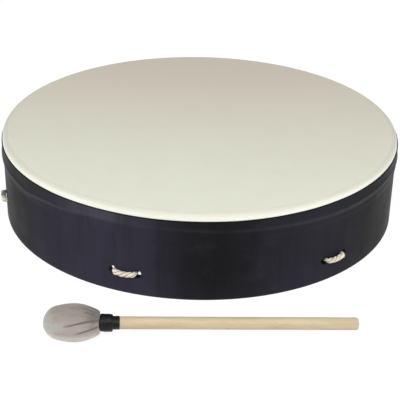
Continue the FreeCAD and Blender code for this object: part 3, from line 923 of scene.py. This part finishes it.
class DRUM_OT_collar(bpy.types.Operator):
    """Makes the collar band with its wandering bead"""

    bl_idname = "drum.collar"
    bl_label = "Collar band"

    def execute(self, context):
        drum = context.scene.drum_sizes
        segments = 360
        facet = 50
        gap_shadow_width = 0.0011
        crest_width = drum.bead_width * 0.3
        least_crest, more_at_sides = 0.12, 0.6
        sheen_patch, sheen_patch_azimuth, sheen_patch_width, sheen_patch_fade = 0.42, -27, 10, 0.003
        points, faces = turned(lambda turn: self.section(drum, turn), segments, True)
        covering = bpy.data.materials["covering"]
        collar = make_object("collar", points, faces, covering, facet)
        claim(collar, "drum", ["collar_band"])

        def painted_highlight_at(place):
            # A painted highlight lies along the bead's crest, most at the sides, and a painted
            # sheen lies on the band above it in one place.
            azimuth = azimuth_of(place)
            above = place.z - bead_height(azimuth)
            # rubbed is the strength of the painted highlight along the crest.
            rubbed = least_crest + more_at_sides * math.sin(azimuth) ** 2
            sheen_patched = sheen_patch * bell((math.degrees(azimuth) - sheen_patch_azimuth) / sheen_patch_width)
            sheen_patched *= min(1, max(0, 1 + above / sheen_patch_fade))
            return max(rubbed * bell(above / crest_width), sheen_patched)

        # A painted shadow darkens the band's top, just under the head's edge.
        def gap_shadow_at(place):
            below = collar_top(azimuth_of(place)) - place.z
            return max(0.0, 1 - below / gap_shadow_width)

        # Painted sheen on the band, kept as bloom.
        write_shade(collar, "bloom", painted_sheen_at)
        # Painted highlight on the bead's crest and painted sheen above it.
        write_shade(collar, "painted_highlight", painted_highlight_at)
        write_shade(collar, "painted_gap_shadow", gap_shadow_at)
        return {"FINISHED"}

    def section(self, drum, turn):
        """The band's section: thin at its lower edge, with a bead, and rounded at its top."""
        lip = 0.00035
        taper = 0.0065
        rounding = 0.0004
        bottom, top = drum.collar_bottom, collar_top(turn)
        inner = drum.radius + GLUE
        outer = drum.radius + drum.collar_thickness
        places = [(inner, bottom), (drum.radius + lip, bottom)]
        heights = steps_between(bottom + 0.0005, top - 0.0012, 42)
        heights += [top - 0.0009, top - 0.0006, top - rounding]
        middle = bead_height(turn)
        for height in heights:
            off = (height - middle) / (drum.bead_width / 2)
            thickness = lip + (drum.collar_thickness - lip) * eased((height - bottom) / taper)
            places.append((drum.radius + thickness + drum.bead_rise * bell(off), height))
        places += arc((outer - rounding, top - rounding), rounding, 20, 90, 4)
        return places + [(inner, top)]


class DRUM_OT_head(bpy.types.Operator):
    """Makes the film head, rolled over the bearing edge"""

    bl_idname = "drum.head"
    bl_label = "Head"

    def execute(self, context):
        drum, colours = context.scene.drum_sizes, context.scene.drum_colours
        outside = drum.radius - drum.film
        roll = (outside - drum.edge_radius, drum.height - drum.film - drum.edge_radius)
        under = drum.height - drum.film + HAIR
        top_radii = (0, 0.03, 0.07, 0.11, 0.15, 0.18, roll[0] - 0.004)
        under_radii = (0.18, 0.13, 0.08, 0.04, 0)
        skirt_heights = (0.0815, 0.075, 0.068, drum.skirt_bottom)
        inner_heights = (drum.skirt_bottom, 0.07, 0.078)
        section = [(radius, drum.height) for radius in top_radii]
        section += arc(roll, drum.edge_radius + drum.film, 90, 0, 16)
        section += [(drum.radius, z) for z in skirt_heights]
        section += [(outside + HAIR, z) for z in inner_heights]
        section += arc(roll, drum.edge_radius + HAIR, 0, 90, 20)
        section += [(radius, under) for radius in under_radii]
        points, faces = turned(lambda turn: section, WALL_SEGMENTS, False)
        film = make_object("head_film", points, faces, film_material(colours))
        claim(film, "drum", ["drumhead"])
        return {"FINISHED"}


# The lacing

def rope_corner(drum, rope, azimuth, side):
    """Where the outside stitch and the strand inside would meet at a sharp corner."""
    radius = drum.radius + rope.wall_gap + rope.diameter / 2
    half = drum.hole_spacing / 2 - drum.hole_radius + rope.corner_bend
    turn = azimuth + side * math.atan2(half, radius)
    return polar(math.hypot(radius, half), turn, rope.level + rope.hole_rise)


def stitch_middle(drum, rope, azimuth):
    """The middle of an outside stitch, which hangs a little lower than its ends."""
    ends = rope_corner(drum, rope, azimuth, -1) + rope_corner(drum, rope, azimuth, 1)
    return ends / 2 - UP * rope.hang


def ring_wrap(drum, rope, left, right):
    """Control places of one pass round the ring: two before and after it, two on its bend."""
    wrap = rope.ring_diameter / 2 + rope.ring_gap + rope.diameter / 2
    middle = (left + right) / 2
    outward = polar(1, middle, 0)
    across = polar(1, middle + math.pi / 2, 0)
    core = outward * rope.ring_radius + UP * rope.level
    corner = rope_corner(drum, rope, right, -1)
    reach = corner.dot(outward) - rope.ring_radius
    lean = math.asin(wrap / reach)
    wrapped = wrap * (math.pi / 2 + lean)
    advance = corner.dot(across) / (math.sqrt(reach * reach - wrap * wrap) + wrapped)
    bend = wrap * math.tan((math.pi / 2 + lean) / 2)
    places = []
    for turn, shift in ((math.pi / 2 - lean, -1), (3 * math.pi / 2 + lean, 1)):
        radial = outward * math.cos(turn) + UP * math.sin(turn)
        heading = UP * math.cos(turn) - outward * math.sin(turn) + across * advance
        touch = core + radial * wrap + across * (shift * wrapped * advance)
        places += [touch - heading * bend, touch + heading * bend]
    return places


def toward(start, end, distance):
    return start + (end - start).normalized() * distance


def join_places(drum, rope, left, right):
    """The frame of the join, on the strand that runs from the ring to its hole in the wall."""
    corner = rope_corner(drum, rope, right, -1)
    inward = (ring_wrap(drum, rope, left, right)[2] - corner).normalized()
    across = inward.cross(UP).normalized()
    rise = across.cross(inward).normalized()
    stack = rope.diameter + rope.join_gap
    rise_start = corner + inward * rope.join_start
    lap_start = rise_start + inward * rope.join_rise + rise * stack
    return {
        "corner": corner,
        "inward": inward,
        "rise": rise,
        "stack": stack,
        "rise_start": rise_start,
        "lap_start": lap_start,
        "lower_end": rise_start + inward * (rope.join_rise + rope.join_end),
        "upper_end": lap_start + inward * rope.join_lap,
    }


def lacing_route(drum, rope):
    """The rope from its upper end at the join, round all the holes, to its lower end there."""
    azimuths = pair_azimuths(drum)
    azimuths.append(azimuths[0] + 2 * math.pi)
    join = join_places(drum, rope, azimuths[4], azimuths[5])
    ahead = join["upper_end"]
    route = [ahead]
    for corner, after in (
        (join["lap_start"], join["rise_start"]),
        (join["rise_start"], join["corner"]),
    ):
        route += [toward(corner, ahead, rope.join_reach), corner]
        route.append(toward(corner, after, rope.join_reach))
        ahead = corner
    stitch = stitch_middle(drum, rope, azimuths[5])
    route += bend_into_hole(rope, join["rise_start"], join["corner"], stitch)
    for index in (5, 0, 1, 2, 3, 4):
        left, right = azimuths[index], azimuths[index + 1]
        wrap = ring_wrap(drum, rope, left, right)
        stitch = stitch_middle(drum, rope, left)
        route.append(stitch)
        route += bend_into_hole(rope, stitch, rope_corner(drum, rope, left, 1), wrap[0])
        route += wrap
        if index == 4:
            route.append(join["lower_end"])
        else:
            corner = rope_corner(drum, rope, right, -1)
            route += bend_into_hole(rope, wrap[3], corner, stitch_middle(drum, rope, right))
    return route


def held_in_hole(drum, rope, point):
    """The rope is squeezed where it passes through the wall and darkened there with painted
    shade, and one stitch of it is darkened with painted shade too."""
    squeeze_start, squeeze_fade = 0.0034, 0.0026  # outside the covering
    shade_start, shade_fade = 0.001, 0.0022
    inner_start, inner_fade = 0.005, 0.004  # inside the wall
    stitch_shade_from, stitch_shade_to = -84, -75.6  # azimuths in degrees
    most_hole_shade, most_stitch_shade = 0.92, 0.7
    radius = math.hypot(point[0], point[1])
    from_inside = radius - (drum.radius - drum.film - drum.wall)
    from_outside = drum.radius - radius
    in_wall = eased((from_inside + inner_start) / inner_fade)
    squeezed = in_wall * eased((from_outside + squeeze_start) / squeeze_fade)
    painted_shade = in_wall * eased((from_outside + shade_start) / shade_fade)
    azimuth = math.degrees(azimuth_of(point))
    # Painted shade on one stitch at the drum's left side.
    stitch_shade = eased((stitch_shade_to - azimuth) / 1.6) * eased((azimuth - stitch_shade_from) / 2)
    stitch_shade *= eased(from_inside / inner_fade)
    return (1 - rope.squeeze) * squeezed, max(most_hole_shade * painted_shade, most_stitch_shade * stitch_shade)


def bend_into_hole(rope, before, corner, after):
    reach = rope.corner_reach
    return [toward(corner, before, reach), corner, toward(corner, after, reach)]


def seizing_route(drum, rope):
    """Twine wound round both ends of the rope, six places to a turn."""
    azimuths = pair_azimuths(drum)
    join = join_places(drum, rope, azimuths[4], azimuths[5])
    along, rise = join["inward"], join["rise"]
    across = along.cross(rise)
    out = rope.diameter / 2 + rope.twine_gap + rope.twine / 2
    stack = join["stack"]
    middle = (join["lap_start"] + join["upper_end"]) / 2 - rise * stack
    turn_places = (
        (out, stack / 2), (out, stack + out), (-out, stack + out),
        (-out, stack / 2), (-out, -out), (out, -out),
    )
    start = middle - along * (rope.twine_pitch * rope.twine_turns / 2)
    places = []
    for index in range(6 * rope.twine_turns + 1):
        side, height = turn_places[index % 6]
        forward = along * (rope.twine_pitch * index / 6)
        places.append(start + forward + across * side + rise * height)
    return places


class DRUM_OT_lacing(bpy.types.Operator):
    """Lays the rope through the holes and round the grip ring, and binds its ends with twine"""

    bl_idname = "drum.lacing"
    bl_label = "Lacing"

    def execute(self, context):
        scene = context.scene
        drum, rope, colours = scene.drum_sizes, scene.rope_sizes, scene.drum_colours
        strands = 3
        natural = rope_material("rope", colours.rope, colours.rope_shade, strands, rope.diameter)
        line = spline_points(lacing_route(drum, rope), 16)
        lacing = laid_rope(
            "lacing_rope", line, rope.diameter, rope.lay, strands, natural,
            held_at=lambda point: held_in_hole(drum, rope, point),
        )
        passes = [f"lacing_{number}" for number in range(1, 7)]
        claim(lacing, "drum", [*passes, "lacing_tail"])
        steps = 720
        circle = np.array([
            tuple(polar(rope.ring_radius, 2 * math.pi * step / steps, rope.level))
            for step in range(steps + 1)
        ])
        laid_turns = 8 + 1 / 3
        ring_lay = 2 * math.pi * rope.ring_radius / laid_turns
        ring = laid_rope(
            "ring_rope", circle, rope.ring_diameter, ring_lay, strands, natural,
            points_round=36, step=0.0014, ring=True,
        )
        claim(ring, "drum", ["grip_ring"])
        strands, lay = 2, 0.0042
        hemp = rope_material("hemp", colours.twine, colours.twine_shade, strands, rope.twine)
        line = spline_points(seizing_route(drum, rope), 8)
        binding = laid_rope(
            "seizing_twine", line, rope.twine, lay, strands, hemp, points_round=12, step=0.0006,
        )
        claim(binding, "drum", ["lacing_seizing"])
        return {"FINISHED"}


# The mallet, made along +X from the tip of its head and then laid in its place

def mallet_place(mallet):
    turn = Matrix.Rotation(mallet.yaw, 4, "Z") @ Matrix.Rotation(mallet.tilt, 4, "Y")
    return Matrix.Translation(mallet.tip) @ turn


def finish_mallet_piece(piece, mallet, replaced):
    piece.matrix_world = mallet_place(mallet)
    claim(piece, "mallet", replaced)


def egg_section(mallet, inset):
    """Places (radius, distance from the tip) on the head's outline, drawn in by inset."""
    reach = mallet.widest - mallet.nose_radius
    rise = mallet.head_radius - mallet.nose_radius
    side_radius = mallet.nose_radius + (reach * reach + rise * rise) / (2 * rise)
    side_centre = (mallet.head_radius - side_radius, mallet.widest)
    tail_centre = (mallet.head_radius - mallet.tail_radius, mallet.widest)
    round_along = mallet.shoulder - mallet.shoulder_round
    tail_reach = mallet.tail_radius - mallet.shoulder_round
    round_out = math.sqrt(tail_reach ** 2 - (round_along - mallet.widest) ** 2)
    round_centre = (tail_centre[0] + round_out, round_along)
    tip_turn = -86
    nose_turn = math.degrees(math.atan2(-reach, -side_centre[0]))
    tail_turn = math.degrees(math.atan2(round_along - mallet.widest, round_out))
    section = [(0, inset)]
    nose = (0, mallet.nose_radius)
    section += arc(nose, mallet.nose_radius - inset, tip_turn, nose_turn, 16)
    section += arc(side_centre, side_radius - inset, nose_turn, 0, 10)[1:]
    section += arc(tail_centre, mallet.tail_radius - inset, 0, tail_turn, 34)[1:]
    section += arc(round_centre, mallet.shoulder_round - inset, tail_turn, 90, 8)[1:]
    return section


# Folds of the suede: where they leave the neck and where they end, as an angle up from the
# front in degrees, how far they end from the tip in millimetres, and their depth and width.
FOLDS = (
    (43, 16, 14, 0.95, 2.1), (12, -5, 26, 0.95, 2.1), (27, 16, 37, 0.35, 1.0),
    (62, 67, 33, 0.85, 1.6), (76, 86, 29, 0.9, 1.9), (98, 100, 35, 0.6, 1.3),
    (-22, -16, 34, 0.5, 1.5), (-48, -52, 30, 0.6, 1.7), (-74, -70, 35, 0.5, 1.4),
    (-98, -108, 29, 0.65, 1.6), (-124, -120, 36, 0.45, 1.3), (-148, -158, 30, 0.65, 1.6),
    (-174, -172, 34, 0.5, 1.4), (160, 166, 28, 0.65, 1.6), (137, 132, 35, 0.5, 1.4),
    (120, 118, 39, 0.35, 1.1),
)


def fold_depth(mallet, radius, along, turn):
    """How far the suede is drawn in at a place, from its folds and the puckers at the neck."""
    most_bulge = 0.00005
    ripple_height = 0.00008
    starts_steep = 3.4
    eases_at_neck = 0.35
    width_at_end, wider_at_neck = 0.3, 0.35
    lip, lip_reach = 0.15, 2.4  # the suede stands up a little on both sides of a fold
    from_front = math.pi / 2 + turn
    depth = 0.0
    for at_neck, at_end, end, deep, wide in FOLDS:
        share = (along - end * MM) / (mallet.shoulder - end * MM)
        if share <= 0:
            continue
        share = min(share, 1.0)
        line = math.radians(at_end + (at_neck - at_end) * share)
        off = (from_front - line + math.pi) % (2 * math.pi) - math.pi
        across = off * radius / (wide * MM * (width_at_end + wider_at_neck * share))
        strength = deep * MM * min(1.0, share * starts_steep) * (1 - eases_at_neck * share)
        depth += strength * (bell(across) - lip * bell(across / lip_reach))
    ripple = math.sin(5 * turn + 130 * along) * math.sin(210 * along + 3 * turn)
    return max(depth, -most_bulge) + ripple_height * (1 + ripple)


def sag(mallet, along, turn):
    """How far back the suede sags at a place: not in front, most above and below the neck."""
    without_sag = math.radians(-63)
    share = (along - mallet.sag_start) / (mallet.shoulder - mallet.sag_start)
    aside = math.sin(turn - without_sag)
    return mallet.sag * eased(share) * aside * aside


class DRUM_OT_mallet_head(bpy.types.Operator):
    """Makes the padding and the suede gathered over it"""

    bl_idname = "drum.mallet_head"
    bl_label = "Mallet head"

    def execute(self, context):
        mallet, colours = context.scene.mallet_sizes, context.scene.drum_colours
        self.make_suede(mallet, colours)
        self.make_padding(mallet, colours)
        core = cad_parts["mallet_core"]
        rubber = rubber_material(colours)
        for slot in core.material_slots:
            slot.material = rubber
        return {"FINISHED"}

    def make_suede(self, mallet, colours):
        segments = 400
        deep_fold = 0.7 * MM
        puckers, pucker_depth = 17, 0.0001
        outer = egg_section(mallet, 0)
        inner = egg_section(mallet, mallet.suede)
        neck_end = mallet.shoulder + mallet.neck
        sleeve = mallet.stick_radius + mallet.suede - HAIR
        bore = mallet.stick_radius + HAIR

        def suede_at(turn):
            section = self.gathered(mallet, outer, turn)
            neck = sleeve + pucker_depth * (math.cos(puckers * turn) - 1)
            neck_start = mallet.shoulder + sag(mallet, mallet.shoulder, turn)
            section += [(neck, x) for x in steps_between(neck_start, neck_end, 8)]
            section += [(bore, neck_end), (bore, neck_start - mallet.suede)]
            return section + self.gathered(mallet, reversed(inner), turn)

        # Painted shade in the folds, for the suede's material to read.
        def painted_crease_shade_at(place):
            radius = math.hypot(place.y, place.z)
            turn = math.atan2(place.y, place.z)
            return fold_depth(mallet, radius, place.x, turn) / deep_fold

        points, faces = turned(suede_at, segments, False, along_x=True)
        suede = make_object("suede_cover", points, faces, suede_material(colours), SOFT_FACET)
        write_shade(suede, "painted_crease_shade", painted_crease_shade_at)
        finish_mallet_piece(suede, mallet, ["mallet_cover"])

    def make_padding(self, mallet, colours):
        """The padding, closed round the core and the stick inside it."""
        segments = 144
        core_radius = 0.0095 + HAIR
        core_start, core_end = 0.008 - HAIR, 0.038 + HAIR
        bore = mallet.stick_radius + HAIR
        slack = 0.00015
        filling = egg_section(mallet, mallet.suede + slack)

        def filling_at(turn):
            section = self.gathered(mallet, filling, turn)
            section += [(bore, section[-1][1]), (bore, core_end), (core_radius, core_end)]
            return section + [(core_radius, core_start), (0, core_start)]

        points, faces = turned(filling_at, segments, False, along_x=True)
        padding = make_object(
            "head_padding", points, faces, padding_material(colours), SOFT_FACET
        )
        finish_mallet_piece(padding, mallet, ["mallet_padding"])

    def gathered(self, mallet, outline, turn):
        """The head's outline at one angle, with its folds drawn in and its shoulder sagging."""
        section = []
        for radius, along in outline:
            drawn_in = fold_depth(mallet, radius, along, turn) if radius else 0
            section.append((radius - drawn_in, along + sag(mallet, along, turn)))
        return section


class DRUM_OT_mallet_stick(bpy.types.Operator):
    """Makes the stick, the thread round the neck and the tape over it"""

    bl_idname = "drum.mallet_stick"
    bl_label = "Mallet stick"

    def execute(self, context):
        mallet, colours = context.scene.mallet_sizes, context.scene.drum_colours
        radius, rounding = mallet.stick_radius - HAIR, mallet.stick_round
        segments = 72
        start = mallet.stick_start + HAIR
        section = [(0, start)]
        section += [(radius, x) for x in steps_between(start, mallet.length - rounding, 26)]
        section += arc((radius - rounding, mallet.length - rounding), rounding, 0, 90, 7)[1:]
        section += [(radius * 0.4, mallet.length), (0, mallet.length)]
        points, faces = turned(lambda turn: section, segments, False, along_x=True)
        stick = make_object("stick", points, faces, wood_material(colours), SOFT_FACET)
        finish_mallet_piece(stick, mallet, ["mallet_stick"])
        self.make_thread(mallet, colours)
        self.make_tape(mallet, colours)
        return {"FINISHED"}

    def make_thread(self, mallet, colours):
        per_turn = 8
        strands, lay = 2, 0.0018
        out = mallet.thread_radius / ((1 + math.cos(math.pi / per_turn) ** 2) / 2)
        places = []
        last = per_turn * mallet.thread_turns
        for index in range(last + 1):
            turn = 2 * math.pi * index / per_turn
            along = mallet.thread_start + mallet.thread_pitch * index / per_turn
            away = mallet.thread_radius if index in (0, last) else out
            places.append(Vector((along, away * math.sin(turn), away * math.cos(turn))))
        spun = rope_material("spun", colours.thread, colours.suede_dark, strands, mallet.thread)
        line = spline_points(places, 8)
        thread = laid_rope(
            "neck_thread", line, mallet.thread, lay, strands, spun, points_round=10, step=0.0004,
        )
        finish_mallet_piece(thread, mallet, ["cover_binding"])

    def make_tape(self, mallet, colours):
        segments = 144
        points, faces = turned(
            lambda turn: self.tape_section(mallet, turn), segments, True, along_x=True
        )
        tape = make_object("neck_wrap", points, faces, tape_material(colours), SOFT_FACET)
        finish_mallet_piece(tape, mallet, ["neck_tape"])

    def tape_section(self, mallet, turn):
        """The tape's section: lumpy over the gathers, then a thin lap on the bare stick."""
        wide, narrow = 0.0052, 0.003
        joint = 0.0003
        cut = 0.0001
        swell_height, lump_height, lap_height, thin_lap_height = 0.00025, 0.00013, 0.0002, 0.0001
        inner, thin_inner = mallet.tape_radius, mallet.stick_radius + HAIR
        start = mallet.tape_start + sag(mallet, mallet.shoulder, turn)
        step, end = mallet.tape_step, mallet.tape_end
        section = [(inner, start + cut)]
        for along in steps_between(start, step, 22):
            swell = swell_height * math.sin(math.pi * (along - start) / (step - start))
            lumps = lump_height * math.sin(3 * turn + 0.8 + 260 * along)
            lap = lap_height * ((along / wide + turn / (2 * math.pi)) % 1)
            round_off = 0.0005 * max(0, 1 - (along - start) / 0.0007) ** 2
            round_off += 0.0006 * max(0, 1 - (step - along) / 0.0008) ** 2
            section.append((inner + mallet.tape + swell + lumps + lap - round_off, along))
        thin = mallet.stick_radius + mallet.tape
        for along in steps_between(step + 0.00025, end - cut, 12):
            lap = thin_lap_height * ((along / narrow + turn / (2 * math.pi)) % 1)
            section.append((thin + lap, along))
        section += [(thin - cut, end), (thin_inner, end)]
        return section + [(thin_inner, step - joint), (inner, step - joint)]


# The studio

def floor_material():
    """A pale diffuse surface that also shines white to the camera, so it keeps only a faint
    shadow, and to glossy and clear surfaces, so that they show the same background."""
    shining = 0.84
    material = bpy.data.materials.new("floor")
    material.use_nodes = True
    tree = material.node_tree
    tree.nodes.clear()
    path = tree.nodes.new("ShaderNodeLightPath").outputs
    seen = calculate(tree, "MAXIMUM", path["Is Camera Ray"], path["Is Glossy Ray"])
    seen = calculate(tree, "MAXIMUM", seen, path["Is Transmission Ray"])
    share = calculate(tree, "MULTIPLY", seen, shining)
    diffuse = add(tree, "ShaderNodeBsdfDiffuse", Color=(0.8, 0.8, 0.8))
    white = add(tree, "ShaderNodeEmission", Color=(1, 1, 1), Strength=1.1)
    mix_shaders(tree, share, diffuse, white, "ShaderNodeOutputMaterial")
    return material


def mix_shaders(tree, share, first, second, output):
    mix = tree.nodes.new("ShaderNodeMixShader")
    for socket, value in zip(mix.inputs, (share, first.outputs[0], second.outputs[0])):
        tree.links.new(value, socket)
    tree.links.new(mix.outputs[0], tree.nodes.new(output).inputs["Surface"])


def add_lamp(name, place, target, size, power):
    data = bpy.data.lights.new(name, "AREA")
    data.shape = "RECTANGLE"
    data.size, data.size_y = size
    data.energy = power
    facing = (Vector(target) - Vector(place)).to_track_quat("-Z", "Y").to_matrix().to_4x4()
    put_in_scene(name, data).matrix_world = Matrix.Translation(place) @ facing


class DRUM_OT_studio(bpy.types.Operator):
    """Sets up the white floor, the room's light, the lamps and the camera"""

    bl_idname = "drum.studio"
    bl_label = "Studio"

    def execute(self, context):
        scene = context.scene
        studio = scene.studio_settings
        half = studio.floor_width / 2
        points = [(-half, -half, 0), (half, -half, 0), (half, half, 0), (-half, half, 0)]
        floor = make_object("floor", points, [(0, 1, 2, 3)], floor_material())
        self.light_room(scene, studio)
        side_power = studio.side_power
        for name, place, target, size, power in (
            ("key", (0.0, -1.05, 1.0), (0.0, -0.15, 0.05), (1.3, 0.6), studio.key_power),
            ("top", (0.0, -0.45, 1.3), (0.0, -0.1, 0.05), (1.0, 0.8), studio.top_power),
            ("side", (-1.3, -0.55, 0.45), (0.0, 0.0, 0.05), (0.7, 0.7), side_power),
            ("side", (1.3, -0.55, 0.45), (0.0, 0.0, 0.05), (0.7, 0.7), side_power),
        ):
            add_lamp(name, place, target, size, power)
        self.set_camera(scene, studio)
        scene.view_settings.view_transform = "Standard"
        return {"FINISHED"}

    def light_room(self, scene, studio):
        world = bpy.data.worlds.new("room")
        world.use_nodes = True
        tree = world.node_tree
        tree.nodes.clear()
        path = tree.nodes.new("ShaderNodeLightPath").outputs
        seen = calculate(tree, "MAXIMUM", path["Is Camera Ray"], path["Is Transmission Ray"])
        soft = add(tree, "ShaderNodeBackground", Color=(1, 1, 1), Strength=studio.room_light)
        white = add(tree, "ShaderNodeBackground", Color=(1, 1, 1), Strength=1.0)
        mix_shaders(tree, seen, soft, white, "ShaderNodeOutputWorld")
        scene.world = world

    def set_camera(self, scene, studio):
        data = bpy.data.cameras.new("camera")
        data.lens = studio.focal_length
        data.sensor_width = 36
        data.clip_start = 0.05
        data.clip_end = 100
        camera = put_in_scene("camera", data)
        camera.matrix_world = (
            Matrix.Translation(studio.camera_place)
            @ Matrix.Rotation(-studio.camera_yaw, 4, "Z")
            @ Matrix.Rotation(math.pi / 2 - studio.camera_pitch, 4, "X")
            @ Matrix.Rotation(studio.camera_roll, 4, "Z")
        )
        scene.camera = camera


# The add-on

OPERATORS = (
    DRUM_OT_studio, DRUM_OT_lacing, DRUM_OT_head, DRUM_OT_wall, DRUM_OT_collar,
    DRUM_OT_mallet_head, DRUM_OT_mallet_stick,
)


class DRUM_PT_panel(bpy.types.Panel):
    bl_idname = "DRUM_PT_panel"
    bl_label = "Frame drum"
    bl_space_type = "VIEW_3D"
    bl_region_type = "UI"
    bl_category = "Drum"

    def draw(self, context):
        for operator in OPERATORS:
            self.layout.operator(operator.bl_idname)


SETTINGS = {
    "drum_sizes": DrumSizes,
    "rope_sizes": RopeSizes,
    "mallet_sizes": MalletSizes,
    "drum_colours": Colours,
    "studio_settings": StudioSettings,
}
CLASSES = (*SETTINGS.values(), *OPERATORS, DRUM_PT_panel)


def register():
    for made in CLASSES:
        bpy.utils.register_class(made)
    for name, group in SETTINGS.items():
        setattr(bpy.types.Scene, name, PointerProperty(type=group))


def unregister():
    for name in SETTINGS:
        delattr(bpy.types.Scene, name)
    for made in reversed(CLASSES):
        bpy.utils.unregister_class(made)


def main():
    register()
    bpy.ops.drum.studio()
    bpy.ops.drum.lacing()
    bpy.ops.drum.head()
    bpy.ops.drum.wall()
    bpy.ops.drum.collar()
    bpy.ops.drum.mallet_head()
    bpy.ops.drum.mallet_stick()


if __name__ == "__main__":
    main()
